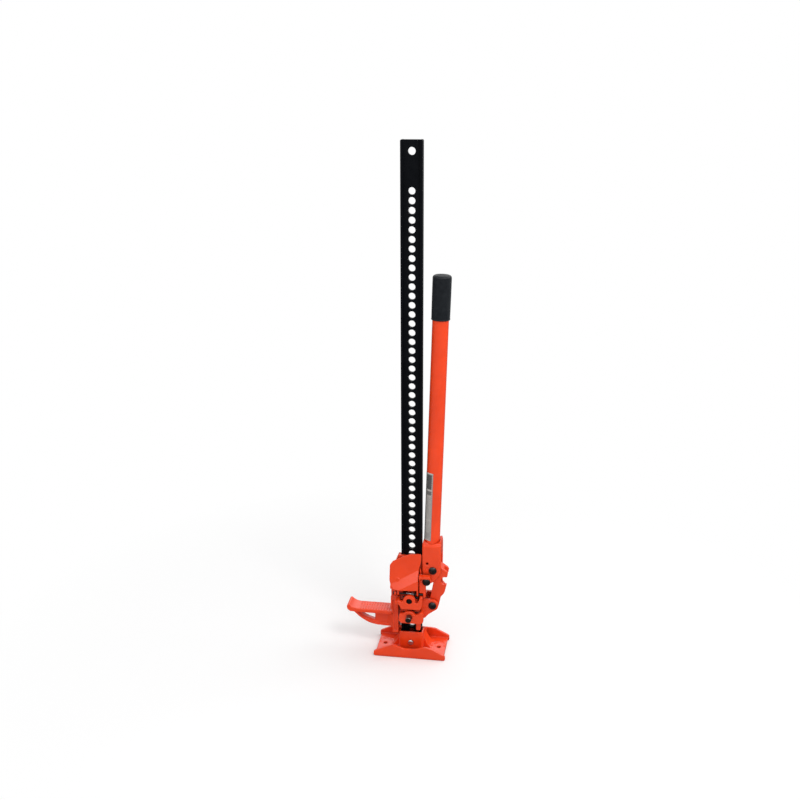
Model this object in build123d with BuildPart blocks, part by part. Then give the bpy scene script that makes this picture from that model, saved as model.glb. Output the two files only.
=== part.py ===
from build123d import *
import math
import os

# High-lift rack jack: a perforated upright bar on a foot, a small and a large
# runner that climb it on two sprung pins, a lifting nose on the large runner,
# a reversing latch, and a pumping handle joined to the small runner by a pitman.
#
# Frame: millimetres, +Z up, origin on the ground under the bar's centre line.
# +X points to the handle side, -X to the lifting nose, the rack holes run
# along Y and -Y is the front with the climbing pins.

os.makedirs("parts", exist_ok=True)

# ---------------------------------------------------- shared dimensions
# Rack bar, an I section with its flanges at +X and -X
BAR_BOTTOM = 8.0
BAR_TOP = 1227.0
BAR_HALF_X = 24.6
BAR_HALF_Y = 10.0
BAR_FLANGE_T = 6.0
BAR_WEB_T = 8.0
RACK_HOLE_R = 8.0
PITCH = 21.0
FIRST_HOLE_Z = 27.0      # hole for the base pin, pitch number 0
LAST_HOLE = 52           # last pitch number that has a hole
TOP_HOLE_Z = 1203.0
TOP_HOLE_R = 8.5

# Base pin and its cotter
BASE_PIN_R = 5.5
BASE_PIN_HOLE_R = 5.6
COTTER_Y = 26.8
COTTER_R = 1.55
COTTER_HOLE_R = 1.65

# Inside of both runners around the bar, and their pin walls and front plates
RUNNER_GAP = 0.35
RUNNER_HALF_X = BAR_HALF_X + RUNNER_GAP
RUNNER_HALF_Y = BAR_HALF_Y + RUNNER_GAP
PIN_WALL_Y = -14.6       # front face of the wall that carries a climbing pin
PIN_WALL_T = -RUNNER_HALF_Y - PIN_WALL_Y
PLATE_Y = -50.0          # front face of the front plates
PLATE_T = 10.0
PLATE_EDGE_R = 1.3
PLATE_BOSS_R = 15
WALL_BOSS_R = 11

# Climbing pins, with their cross pins and coil springs
UPPER_PIN_Z = FIRST_HOLE_Z + 6 * PITCH
LOWER_PIN_Z = FIRST_HOLE_Z + 4 * PITCH
PIN_R = 7.0
PIN_BORE_R = PIN_R + 0.05
PIN_TIP_Y = -4.6
SPRING_SEAT_R = 11.4
SPRING_SEAT_Y = -45
CROSS_PIN_Y = -27.0
CROSS_PIN_R = 2.5
CROSS_PIN_LEN = 38

# Bolts along Y, each placed by its X and Z
SOCKET_PITMAN_XZ = (53.6, 226.9)
PIVOT_X, PIVOT_Z = 39.9, 201.7
PITMAN_LOWER_XZ = (53.5, 134.0)
BOLT_R = 6.0
BOLT_BORE_R = BOLT_R + 0.05

# Half widths along Y over the faces that the bolts clamp
SOCKET_HALF_Y = 25
SMALL_EAR_Y = 26
SMALL_EAR_T = 9
LARGE_EAR_Y = 36
LARGE_EAR_T = 10

# Axis of the reversing latch, along X
LATCH_Y, LATCH_Z = -34.5, 166.3
LATCH_PIN_R = 2.1

# Handle tube, leaning towards +X
TUBE_R = 18.75
TUBE_WALL = 3.0
TUBE_LEN = 667.0
TUBE_X, TUBE_Z = 47.77, 268.0   # centre of the tube's seat in the socket
TUBE_END_GAP = 0.05
LEAN = math.radians(1.705)
tube_plane = Plane(
    origin=(TUBE_X, 0, TUBE_Z),
    x_dir=(math.cos(LEAN), 0, -math.sin(LEAN)),
    z_dir=(math.sin(LEAN), 0, math.cos(LEAN)),
)


def plane_y(y):
    """Plane at the given Y, drawn in X and Z; extrude(-t) grows towards +Y."""
    return Plane.XZ.offset(-y)


def plane_x(x):
    """Plane at the given X, drawn in Y and Z; extrude(t) grows towards +X."""
    return Plane.YZ.offset(x)


def lies_at_y(edge, y):
    """True for an edge that lies flat in the plane at the given Y."""
    return abs(edge.center().Y - y) < 0.01 and edge.bounding_box().size.Y < 0.01


def finish(part, name):
    part.label = name
    export_step(part, "parts/" + name + ".step")


# ------------------------------------------------------------------ rack bar
with BuildPart() as rack_bar:
    with BuildSketch(Plane.XY.offset(BAR_BOTTOM)):
        Rectangle(2 * BAR_HALF_X, BAR_WEB_T)
        flange_x = BAR_HALF_X - BAR_FLANGE_T / 2
        with Locations((flange_x, 0), (-flange_x, 0)):
            Rectangle(BAR_FLANGE_T, 2 * BAR_HALF_Y)
    extrude(amount=BAR_TOP - BAR_BOTTOM)
    inner_corners = rack_bar.edges().filter_by(Axis.Z).filter_by(
        lambda edge: abs(abs(edge.center().X) - (BAR_HALF_X - BAR_FLANGE_T)) < 0.01
        and abs(abs(edge.center().Y) - BAR_WEB_T / 2) < 0.01
    )
    fillet(inner_corners, 2.0)
    outer_corners = rack_bar.edges().filter_by(Axis.Z).filter_by(
        lambda edge: abs(abs(edge.center().Y) - BAR_HALF_Y) < 0.01
    )
    fillet(outer_corners, 1.2)
    with BuildSketch(plane_y(-BAR_WEB_T)):
        with Locations(*[(0, FIRST_HOLE_Z + PITCH * n) for n in range(1, LAST_HOLE + 1)]):
            Circle(RACK_HOLE_R)
        with Locations((0, TOP_HOLE_Z)):
            Circle(TOP_HOLE_R)
        with Locations((0, FIRST_HOLE_Z)):
            Circle(BASE_PIN_HOLE_R)
    extrude(amount=-2 * BAR_WEB_T, mode=Mode.SUBTRACT)
    # bevelled top corners
    with BuildSketch(plane_y(-30)):
        with BuildLine():
            Polyline(
                (BAR_HALF_X - 3, BAR_TOP + 1), (BAR_HALF_X + 1, BAR_TOP + 1),
                (BAR_HALF_X + 1, BAR_TOP - 3), close=True,
            )
        make_face()
        mirror(about=Plane.YZ)
    extrude(amount=-60, mode=Mode.SUBTRACT)
finish(rack_bar.part, "rack_bar")

# ---------------------------------------------------------------- base plate
BASE_X = 176.0
BASE_Y = 103.0
BASE_T = 7.5
BASE_FLANGE_T = 6.0
BASE_HOLE_X = 67.0
BASE_HOLE_R = 5.0
PAD_X = BASE_HOLE_X - 5
PAD_Y = 4

# X, Z outlines of the flanges; the front one is closed by its curved crest
FRONT_FLANGE_FOOT = [
    (-84, 14.5), (-88, 11), (-88, 2.5), (-85.5, 0), (85.5, 0), (88, 2.5), (88, 11), (84, 14.5),
]
FRONT_FLANGE_CREST = [
    (84, 14.5), (62, 24.5), (47, 30), (35, 31), (18, 26), (0, 23.6),
    (-18, 26), (-35, 31), (-47, 30), (-62, 24.5), (-84, 14.5),
]
REAR_FLANGE = [
    (-84, 15.5), (-88, 12), (-88, 2.5), (-85.5, 0), (85.5, 0), (88, 2.5),
    (88, 12), (84, 15.5), (53, 30.5), (40, 32), (-40, 32), (-53, 30.5),
]
# Y, Z profile of the bar socket
BAR_SOCKET_SIDE = [(-22, 0), (-22, 55), (4, 55), (20, 48.5), (38, 37), (51, 31.5), (51, 0)]

with BuildPart() as base_plate:
    # floor, a little shorter than the two flanges
    with BuildSketch(Plane.XY):
        RectangleRounded(BASE_X - 8, BASE_Y - 2, 4)
    extrude(amount=BASE_T)
    # front flange with a dip in the middle
    with BuildSketch(plane_y(-BASE_Y / 2)):
        with BuildLine():
            Polyline(*FRONT_FLANGE_FOOT)
            Spline(*FRONT_FLANGE_CREST)
        make_face()
    extrude(amount=-BASE_FLANGE_T)
    # rear flange
    with BuildSketch(plane_y(BASE_Y / 2 - BASE_FLANGE_T)):
        with BuildLine():
            Polyline(*REAR_FLANGE, close=True)
        make_face()
    extrude(amount=-BASE_FLANGE_T)
    # socket for the bar, its sides falling away to the rear flange
    with BuildSketch(plane_x(-30)):
        with BuildLine():
            Polyline(*BAR_SOCKET_SIDE, close=True)
        make_face()
    extrude(amount=60)
    socket_front_corners = base_plate.edges().filter_by(Axis.Z).filter_by(
        lambda edge: abs(edge.center().Y + 22) < 0.1 and edge.length > 20
    )
    fillet(socket_front_corners, 7.0)
    # sides of the socket flare out into the floor
    with BuildSketch(plane_y(-8)):
        with BuildLine():
            Spline((28, 43), (31.5, 34), (36.5, 23), (43, 13.5), (53, 7))
            Polyline((53, 7), (28, 7), (28, 43))
        make_face()
        mirror(about=Plane.YZ)
    extrude(amount=-38)
    # low tapered block between the front flange and the socket
    with BuildSketch(Plane.XY.offset(BASE_T)):
        with Locations((0, -36.5)):
            Rectangle(44, 20)
    extrude(amount=7, taper=25)
    # half-moon pads behind the bolt holes, recessed inside a raised rim
    with BuildSketch(Plane.XY.offset(BASE_T)):
        with Locations((-PAD_X, PAD_Y), (PAD_X, PAD_Y)):
            Circle(21)
            Rectangle(60, 30, align=(Align.CENTER, Align.MAX), mode=Mode.SUBTRACT)
    extrude(amount=1.4)
    with BuildSketch(Plane.XY.offset(BASE_T + 0.4)):
        with Locations((-PAD_X, PAD_Y), (PAD_X, PAD_Y)):
            Circle(17)
            Rectangle(60, 30, align=(Align.CENTER, Align.MAX), mode=Mode.SUBTRACT)
    extrude(amount=3, mode=Mode.SUBTRACT)
    # pocket for the bar, and the open bay behind it
    with BuildSketch(Plane.XY.offset(BAR_BOTTOM)):
        RectangleRounded(52, 36, 3)
    extrude(amount=80, mode=Mode.SUBTRACT)
    with BuildSketch(Plane.XY.offset(BASE_T)):
        with Locations((0, 33.75)):
            RectangleRounded(52, 23.5, 3)
    extrude(amount=80, mode=Mode.SUBTRACT)
    # pin hole through the front and rear walls of the pocket
    with BuildSketch(plane_y(-30)):
        with Locations((0, FIRST_HOLE_Z)):
            Circle(BASE_PIN_HOLE_R)
    extrude(amount=-56, mode=Mode.SUBTRACT)
    # bolt holes in the floor
    with BuildSketch(Plane.XY.offset(-1)):
        with Locations((-BASE_HOLE_X, 0), (BASE_HOLE_X, 0)):
            Circle(BASE_HOLE_R)
    extrude(amount=BASE_T + 6, mode=Mode.SUBTRACT)
finish(base_plate.part, "base_plate")

# ------------------------------------------------------ base pin and cotter
# Half profile of the pin: Y, radius
BASE_PIN_PROFILE = [
    (-25.2, 0), (-25.2, 4.6), (-24.0, 6.4), (-22.05, 6.4), (-22.05, BASE_PIN_R),
    (28.6, BASE_PIN_R), (30, 4.2), (30, 0),
]
with BuildPart() as base_pin:
    with BuildSketch(plane_x(0)):
        with BuildLine():
            Polyline(*[(y, FIRST_HOLE_Z + r) for y, r in BASE_PIN_PROFILE], close=True)
        make_face()
    revolve(axis=Axis((0, 0, FIRST_HOLE_Z), (0, 1, 0)))
    with BuildSketch(Plane.XY.offset(FIRST_HOLE_Z - 10)):
        with Locations((0, COTTER_Y)):
            Circle(COTTER_HOLE_R)
    extrude(amount=20, mode=Mode.SUBTRACT)
finish(base_pin.part, "base_pin")

with BuildPart() as base_pin_cotter:
    with BuildSketch(Plane.XY.offset(FIRST_HOLE_Z - 11)):
        with Locations((0, COTTER_Y)):
            Circle(COTTER_R)
    extrude(amount=20)
    # ring on top
    with BuildSketch(plane_x(0)):
        with Locations((COTTER_Y, FIRST_HOLE_Z + 11.6)):
            Circle(4.2)
            Circle(1.9, mode=Mode.SUBTRACT)
    extrude(amount=1.5, both=True)
finish(base_pin_cotter.part, "base_pin_cotter")

# -------------------------------------------------------------- small runner
SMALL_SLOT_HALF_Y = SMALL_EAR_Y - SMALL_EAR_T
# X, Z outlines
SMALL_EAR = [
    (26, 99), (35, 99), (43.7, 109.5), (60, 121.6), (64, 140), (56.5, 147.6), (50, 149), (26, 149),
]
SMALL_PLATE = [
    (-26, 101), (-20, 94), (28, 94), (34, 99), (34, 122), (30.5, 125),
    (26, 124), (21, 119), (16, 117), (11, 119), (-12, 120), (-24, 117),
]
SMALL_LEG = [(13.2, 63), (15, 61.5), (21.5, 61.5), (23.3, 63), (23.3, 97), (13.2, 97)]
SMALL_WINDOW = [
    (-26, 116), (-9.6, 116), (-9.6, 120.5), (9.6, 120.5), (9.6, 116),
    (25, 116), (25, 128), (-26, 128),
]
with BuildPart() as small_runner:
    # collar around the bar
    with BuildSketch(Plane.XY.offset(94)):
        with BuildLine():
            Polyline((-29.5, PIN_WALL_Y), (30, PIN_WALL_Y), (30, 17), (-29.5, 17), close=True)
        make_face()
    extrude(amount=55)
    # block that carries the pitman ears
    with BuildSketch(plane_y(-SMALL_EAR_Y)):
        with BuildLine():
            Polyline((26, 99), (35, 99), (38, 103), (38, 149), (26, 149), close=True)
        make_face()
    extrude(amount=-2 * SMALL_EAR_Y)
    # pitman ears, front and rear
    for y in (-SMALL_EAR_Y, SMALL_SLOT_HALF_Y):
        with BuildSketch(plane_y(y)):
            with BuildLine():
                Polyline(*SMALL_EAR, close=True)
            make_face()
            with Locations(PITMAN_LOWER_XZ):
                Circle(14)
        extrude(amount=-SMALL_EAR_T)
    # slot between the ears
    with BuildSketch(plane_y(-SMALL_SLOT_HALF_Y)):
        with BuildLine():
            Polyline((34.5, 90), (90, 90), (90, 160), (34.5, 160), close=True)
        make_face()
    extrude(amount=-2 * SMALL_SLOT_HALF_Y, mode=Mode.SUBTRACT)
    # front plate with the pin boss
    with BuildSketch(plane_y(PLATE_Y)):
        with BuildLine():
            Polyline(*SMALL_PLATE, close=True)
        make_face()
        fillet(vertices(), 2.2)
        with Locations((0, LOWER_PIN_Z)):
            Circle(PLATE_BOSS_R)
    extrude(amount=-PLATE_T)
    fillet(small_runner.edges().filter_by(lambda edge: lies_at_y(edge, PLATE_Y)), PLATE_EDGE_R)
    # webs from the plate back to the collar
    with BuildSketch(plane_y(PLATE_Y + PLATE_T - 1)):
        with BuildLine():
            Polyline((26, 97), (33, 99), (33, 123), (26, 123), close=True)
        make_face()
        with BuildLine():
            Polyline((-25.5, 97), (-20.5, 97), (-20.5, 105), (-25.5, 105), close=True)
        make_face()
    extrude(amount=-26)
    # leg in front of the bar flange
    with BuildSketch(plane_y(-22)):
        with BuildLine():
            Polyline(*SMALL_LEG, close=True)
        make_face()
    extrude(amount=-11.6)
    # room for the bar
    with BuildSketch(Plane.XY.offset(50)):
        Rectangle(2 * RUNNER_HALF_X, 2 * RUNNER_HALF_Y)
    extrude(amount=120, mode=Mode.SUBTRACT)
    # front wall is open above the pin, apart from its round boss and a strip at -X
    with BuildSketch(plane_y(-20)):
        with BuildLine():
            Polyline((-40, 113), (-40, 160), (19, 160), (19, 113), close=True)
        make_face()
        with BuildLine():
            Polyline((-40, 113), (-19, 113), (-19, 138), (-40, 138), close=True)
        make_face(mode=Mode.SUBTRACT)
        with Locations((0, LOWER_PIN_Z)):
            Circle(WALL_BOSS_R, mode=Mode.SUBTRACT)
    extrude(amount=-9.8, mode=Mode.SUBTRACT)
    # wall on the nose side starts higher, clear of the large runner's guide pad
    with BuildSketch(plane_y(-9.6)):
        with BuildLine():
            Polyline(
                (-40, 80), (-RUNNER_HALF_X + 1, 80), (-RUNNER_HALF_X + 1, 107), (-40, 107),
                close=True,
            )
        make_face()
    extrude(amount=-19.2, mode=Mode.SUBTRACT)
    # climbing pin bore, spring seat and bolt bore
    with BuildSketch(plane_y(-60)):
        with Locations((0, LOWER_PIN_Z)):
            Circle(PIN_BORE_R)
    extrude(amount=-50, mode=Mode.SUBTRACT)
    with BuildSketch(plane_y(SPRING_SEAT_Y)):
        with Locations((0, LOWER_PIN_Z)):
            Circle(SPRING_SEAT_R)
    extrude(amount=-10, mode=Mode.SUBTRACT)
    with BuildSketch(plane_y(-30)):
        with Locations(PITMAN_LOWER_XZ):
            Circle(BOLT_BORE_R)
    extrude(amount=-60, mode=Mode.SUBTRACT)
    # stepped window across the front wall
    with BuildSketch(plane_y(-17)):
        with BuildLine():
            Polyline(*SMALL_WINDOW, close=True)
        make_face()
    extrude(amount=-6.7, mode=Mode.SUBTRACT)
finish(small_runner.part, "small_runner")

# -------------------------------------------------------------- large runner
NOSE_HALF_Y = 21.5
NOSE_TOP_Z = 108
RIB_COUNT = 12           # ribs in each of two rows
RIB_PITCH = 6.5

# X, Z outlines
COLUMN = [
    (-45, 52), (-30.5, 52), (-30.5, 175), (-23.5, 175), (-23.5, 258), (-31, 258),
    (-40, 236), (-46, 205), (-49, 178), (-49, 118), (-45, 104),
]
COLUMN_FOOT = [
    (-45, 52), (-30.5, 52), (-30.5, 153), (-46.5, 153), (-49, 150), (-49, 118), (-45, 104),
]
COLUMN_CHANNEL = [
    (-41.5, 58), (-34.5, 58), (-34.5, 141), (-44.5, 141), (-44.5, 118), (-41.5, 106),
]
POST = [
    (10.8, 139.8), (16.5, 139.8), (16.5, 148), (15, 149.6), (12.3, 149.6), (10.8, 148),
]
LARGE_PLATE = [
    (-27.6, 145), (-23.5, 140), (-20, 131.5), (26, 131.5), (29, 136), (31, 150),
    (31, 163.5), (29, 166.5), (26.5, 165), (23.5, 158), (21.5, 152), (17, 149),
    (12, 151), (-13, 153), (-20, 151), (-26, 154.5), (-29, 151),
]
LARGE_EAR = [
    (22.5, 161), (38, 161), (38, 190), (49, 199), (50, 205), (46.5, 214), (44.5, 216), (22.5, 216),
]
LEDGE = [
    (22.5, 212), (47.5, 212), (49.2, 213.7), (49.2, 216.8), (47.5, 218.5), (22.5, 218.5),
]
NOSE_HOOK = [
    (-153, 118.5), (-157, 117.5), (-160, 112), (-158.5, 104.5), (-152, 99.5),
    (-140, 98.5), (-47, 98.5),
]
NOSE_LOWER_EDGE = [(-144, 93), (-126, 77), (-102, 64.5), (-72, 60.5), (-47, 60)]
NOSE_RIM_TOP = [(-47, 66), (-72, 66.5), (-100, 70.3), (-123, 82), (-139, 96)]
NOSE_OPENING = [
    (-127, 90.5), (-122, 92), (-94, 92), (-91.5, 89.5), (-91.5, 75), (-94, 73.5),
    (-109, 78.5), (-120, 84.5),
]
with BuildPart() as large_runner:
    # column on the nose side
    with BuildSketch(plane_y(-16)):
        with BuildLine():
            Polyline(*COLUMN, close=True)
        make_face()
    extrude(amount=-33)
    with BuildSketch(plane_y(-24)):
        with BuildLine():
            Polyline(*COLUMN_FOOT, close=True)
        make_face()
    extrude(amount=-44)
    # shallow channel down the column's front
    with BuildSketch(plane_y(-24)):
        with BuildLine():
            Polyline(*COLUMN_CHANNEL, close=True)
        make_face()
    extrude(amount=-2.5, mode=Mode.SUBTRACT)
    # guide pad at the column's foot
    with BuildSketch(plane_y(-9.2)):
        with BuildLine():
            Polyline((-32, 56.5), (-25.1, 56.5), (-25.1, 63), (-32, 65), close=True)
        make_face()
    extrude(amount=-18.4)
    # collar around the bar
    with BuildSketch(Plane.XY.offset(175)):
        with BuildLine():
            Polyline((-31, -16), (26.4, -16), (26.4, 17), (-31, 17), close=True)
        make_face()
    extrude(amount=83)
    # wall that carries the upper pin
    with BuildSketch(plane_y(PIN_WALL_Y)):
        with BuildLine():
            Polyline((-32, 139.8), (7, 139.8), (7, 157), (-32, 157), close=True)
        make_face()
        with Locations((0, UPPER_PIN_Z)):
            Circle(WALL_BOSS_R)
    extrude(amount=-PIN_WALL_T)
    # small post on the handle side of that wall, and the strip that joins them
    with BuildSketch(plane_y(-30)):
        with BuildLine():
            Polyline(*POST, close=True)
        make_face()
    extrude(amount=-(30 - RUNNER_HALF_Y))
    with BuildSketch(plane_y(PIN_WALL_Y)):
        with BuildLine():
            Polyline((5, 139.8), (13, 139.8), (13, 146), (5, 146), close=True)
        make_face()
    extrude(amount=-PIN_WALL_T)
    # strip joining the pin wall to the collar
    with BuildSketch(plane_y(PIN_WALL_Y)):
        with BuildLine():
            Polyline((-32, 150), (-20, 150), (-20, 180), (-32, 180), close=True)
        make_face()
    extrude(amount=-PIN_WALL_T)
    # front plate with the pin boss
    with BuildSketch(plane_y(PLATE_Y)):
        with BuildLine():
            Polyline(*LARGE_PLATE, close=True)
        make_face()
        fillet(vertices(), 1.6)
        with Locations((0, UPPER_PIN_Z)):
            Circle(PLATE_BOSS_R)
    extrude(amount=-PLATE_T)
    fillet(large_runner.edges().filter_by(lambda edge: lies_at_y(edge, PLATE_Y)), PLATE_EDGE_R)
    # bracket from the plate to the column
    with BuildSketch(plane_y(-46)):
        with BuildLine():
            Polyline((-35, 141), (-26, 141), (-26, 151), (-35, 151), close=True)
        make_face()
    extrude(amount=-24)
    # bracket from the plate to the front ear
    with BuildSketch(plane_y(-46)):
        with BuildLine():
            Polyline((24.5, 152), (30.5, 150), (30.5, 163.2), (24.5, 163.2), close=True)
        make_face()
    extrude(amount=-19)
    # ears for the handle socket, front and rear
    for y in (-LARGE_EAR_Y, LARGE_EAR_Y - LARGE_EAR_T):
        with BuildSketch(plane_y(y)):
            with BuildLine():
                Polyline(*LARGE_EAR, close=True)
            make_face()
            with Locations((PIVOT_X, PIVOT_Z)):
                Circle(10.5)
        extrude(amount=-LARGE_EAR_T)
    # walls joining the ears to the collar, front and rear
    for y, top in ((-28, 226), (9, 240)):
        with BuildSketch(plane_y(y)):
            with BuildLine():
                Polyline(
                    (22.5, 161), (30, 161), (30, 182), (26.4, 186), (26.4, top),
                    (22.5, top + 6), close=True,
                )
            make_face()
        extrude(amount=-19)
    # side wall of the collar below the socket
    with BuildSketch(Plane.XY.offset(161)):
        with BuildLine():
            Polyline((22.5, -27), (30, -27), (30, 27), (22.5, 27), close=True)
        make_face()
    extrude(amount=20)
    # ledge over the pivot bolt's head
    with BuildSketch(plane_y(-45)):
        with BuildLine():
            Polyline(*LEDGE, close=True)
        make_face()
    extrude(amount=-13.4)
    # gusset under the ledge, beside the head
    with BuildSketch(plane_x(22.5)):
        with BuildLine():
            Polyline((-45, 214), (-36, 214), (-34, 200), (-36, 200), close=True)
        make_face()
    extrude(amount=4)
    # groove across the ear for the latch pin, and the lug that ends it
    with BuildSketch(plane_y(-37)):
        with BuildLine():
            Polyline((20, 163.2), (32.5, 163.2), (32.5, 170.5), (20, 170.5), close=True)
        make_face()
    extrude(amount=-5.5, mode=Mode.SUBTRACT)
    with BuildSketch(plane_y(-38.5)):
        with BuildLine():
            Polyline((32.5, 161), (38, 161), (38, 172), (32.5, 172), close=True)
        make_face()
    extrude(amount=-10)
    # lug for the latch pin, on the nose side
    with BuildSketch(plane_x(-38.5)):
        with BuildLine():
            Polyline(
                (LATCH_Y, LATCH_Z - 4.3), (-14, LATCH_Z - 7), (-14, LATCH_Z + 7),
                (LATCH_Y, LATCH_Z + 4.3), close=True,
            )
        make_face()
        with Locations((LATCH_Y, LATCH_Z)):
            Circle(4.3)
    extrude(amount=6)
    # lifting nose: top plate, hooked tip
    with BuildSketch(plane_y(-NOSE_HALF_Y)):
        with BuildLine():
            Polyline((-47, 98.5), (-47, NOSE_TOP_Z), (-128, NOSE_TOP_Z))
            Spline(
                (-128, NOSE_TOP_Z), (-142, 110.5), (-153, 118.5),
                tangents=((-1, 0.02), (-0.6, 0.8)),
            )
            Polyline(*NOSE_HOOK)
        make_face()
    extrude(amount=-2 * NOSE_HALF_Y)
    nose_side_edges = large_runner.edges().filter_by(
        lambda edge: edge.center().X < -60
        and (lies_at_y(edge, -NOSE_HALF_Y) or lies_at_y(edge, NOSE_HALF_Y))
    )
    fillet(nose_side_edges, 2.0)
    # nose web with its opening
    with BuildSketch(plane_y(-6)):
        with BuildLine():
            Polyline((-47, 100), (-147, 100), (-144, 93))
            Spline(*NOSE_LOWER_EDGE)
            Line((-47, 60), (-47, 100))
        make_face()
        with BuildLine():
            Polyline(*NOSE_OPENING, close=True)
        make_face(mode=Mode.SUBTRACT)
    extrude(amount=-12)
    # thickened lower rim of the web
    with BuildSketch(plane_y(-9)):
        with BuildLine():
            Spline(*NOSE_LOWER_EDGE)
            Line((-47, 60), (-47, 66))
            Spline(*NOSE_RIM_TOP)
            Line((-139, 96), (-144, 93))
        make_face()
    extrude(amount=-18)
    # web root flares into the column
    with BuildSketch(Plane.XY.offset(62)):
        with BuildLine():
            Polyline(
                (-44, -20), (-44, 18), (-47, 15), (-60, 6), (-60, -6), (-47, -17), close=True,
            )
        make_face()
    extrude(amount=38)
    # anti-slip ribs in two rows
    with BuildSketch(Plane.XY.offset(NOSE_TOP_Z - 0.5)):
        with Locations(*[
            (-54.0 - RIB_PITCH * i, side * 10.2) for i in range(RIB_COUNT) for side in (-1, 1)
        ]):
            Rectangle(3.0, 16.5)
    extrude(amount=1.9, taper=20)
    # room for the bar
    with BuildSketch(Plane.XY.offset(130)):
        Rectangle(2 * RUNNER_HALF_X, 2 * RUNNER_HALF_Y)
    extrude(amount=200, mode=Mode.SUBTRACT)
    # room for the socket and handle between the ears
    with BuildSketch(Plane.XY.offset(186)):
        with Locations((56.45, 0)):
            Rectangle(60, 51.2)
    extrude(amount=60, mode=Mode.SUBTRACT)
    # climbing pin bore, spring seat, bolt bore and latch pin bore
    with BuildSketch(plane_y(-60)):
        with Locations((0, UPPER_PIN_Z)):
            Circle(PIN_BORE_R)
    extrude(amount=-50, mode=Mode.SUBTRACT)
    with BuildSketch(plane_y(SPRING_SEAT_Y)):
        with Locations((0, UPPER_PIN_Z)):
            Circle(SPRING_SEAT_R)
    extrude(amount=-10, mode=Mode.SUBTRACT)
    with BuildSketch(plane_y(-40)):
        with Locations((PIVOT_X, PIVOT_Z)):
            Circle(BOLT_BORE_R)
    extrude(amount=-80, mode=Mode.SUBTRACT)
    with BuildSketch(plane_x(-40)):
        with Locations((LATCH_Y, LATCH_Z)):
            Circle(LATCH_PIN_R + 0.02)
    extrude(amount=66, mode=Mode.SUBTRACT)
    # collar rim slopes down to the rear
    with BuildSketch(plane_x(-60)):
        with BuildLine():
            Polyline(
                (-16, 264), (-12, 260.5), (15, 249.5), (40, 249.5), (40, 290), (-16, 290),
                close=True,
            )
        make_face()
    extrude(amount=120, mode=Mode.SUBTRACT)
finish(large_runner.part, "large_runner")


# ------------------------------------------------- climbing pins and springs
def make_climbing_pin(name, pin_z, outer_y):
    """Pin along Y from outer_y to the shared tip, cross-drilled along X."""
    with BuildPart() as pin:
        with BuildSketch(plane_x(0)):
            with BuildLine():
                Polyline(
                    (outer_y, pin_z), (outer_y, pin_z + PIN_R - 1), (outer_y + 1, pin_z + PIN_R),
                    (PIN_TIP_Y - 1.5, pin_z + PIN_R), (PIN_TIP_Y, pin_z + PIN_R - 1.5),
                    (PIN_TIP_Y, pin_z), close=True,
                )
            make_face()
        revolve(axis=Axis((0, 0, pin_z), (0, 1, 0)))
        with BuildSketch(plane_x(-10)):
            with Locations((CROSS_PIN_Y, pin_z)):
                Circle(CROSS_PIN_R + 0.02)
        extrude(amount=20, mode=Mode.SUBTRACT)
    finish(pin.part, name)


def make_cross_pin(name, pin_z):
    with BuildPart() as cross_pin:
        with BuildSketch(plane_x(-CROSS_PIN_LEN / 2)):
            with Locations((CROSS_PIN_Y, pin_z)):
                Circle(CROSS_PIN_R)
        extrude(amount=CROSS_PIN_LEN)
        chamfer(cross_pin.edges().filter_by(GeomType.CIRCLE), 0.5)
    finish(cross_pin.part, name)


def make_spring(name, start, direction, height, turns, coil_r, wire_r):
    """Coil spring; start, height and coil_r belong to the wire's centre line."""
    with BuildPart() as spring:
        with BuildLine() as coil:
            Helix(
                pitch=height / turns, height=height, radius=coil_r,
                center=start, direction=direction,
            )
        with BuildSketch(Plane(origin=coil.line @ 0, z_dir=coil.line % 0)):
            Circle(wire_r)
        sweep(path=coil.line)
    finish(spring.part, name)


# each spring fills the space between its front plate and cross pin
WIRE_R = 0.9
COIL_START_Y = SPRING_SEAT_Y + 0.1 + WIRE_R
COIL_END_Y = CROSS_PIN_Y - CROSS_PIN_R - 0.05 - WIRE_R
for level, pin_z, outer_y in (("upper", UPPER_PIN_Z, -48), ("lower", LOWER_PIN_Z, -66)):
    make_climbing_pin(level + "_climbing_pin", pin_z, outer_y)
    make_cross_pin(level + "_cross_pin", pin_z)
    make_spring(
        level + "_pin_spring", start=(0, COIL_START_Y, pin_z), direction=(0, 1, 0),
        height=COIL_END_Y - COIL_START_Y, turns=4.5, coil_r=8.4, wire_r=WIRE_R,
    )

# ----------------------------------------------------------- reversing latch
PANEL_T = 5.0
PANEL_Z = 190.0          # height of the panel plane's origin
TILT = math.atan2(16.0, 74.0)
panel_plane = Plane(
    origin=(0, -38, PANEL_Z), x_dir=(1, 0, 0), z_dir=(0, -math.cos(TILT), math.sin(TILT))
)

# X, Z of the panel's corners
PANEL = [
    (-46.5, 186), (-50, 200), (-50.2, 236), (-43.3, 245.5), (-23.2, 256), (-3, 264.2),
    (23.8, 266.5), (25.8, 263), (25.8, 249), (20.6, 229), (20.6, 220),
]
# X of each end section, then its Y, Z outline
LIP_SECTIONS = [
    (-47.5, [(-38.0, 190.4), (-50.0, 167.3), (-50, 150), (-36, 150), (-36, 190.4)]),
    (20.6, [(-29.7, 228.5), (-44.6, 205.8), (-42.5, 150), (-28.5, 150), (-28.0, 228.5)]),
]
HOLLOW_SECTIONS = [
    (-43.5, [(-34.6, 186.5), (-45.0, 167.0), (-45, 140), (-8, 140), (-8, 186.5)]),
    (16.6, [(-26.2, 221.5), (-39.2, 201.8), (-37.2, 140), (-8, 140), (-8, 221.5)]),
]
# X, thickness, then the Y, Z outline above the ear's foot
HINGE_EARS = [
    (-31, 5, [(LATCH_Y + 2, 180), (-29.5, 206), (-36, 206), (-39.5, 186)]),
    (16.6, 4, [(LATCH_Y + 2, 178), (-30, 196), (-41, 204), (-41, 186)]),
]


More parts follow.
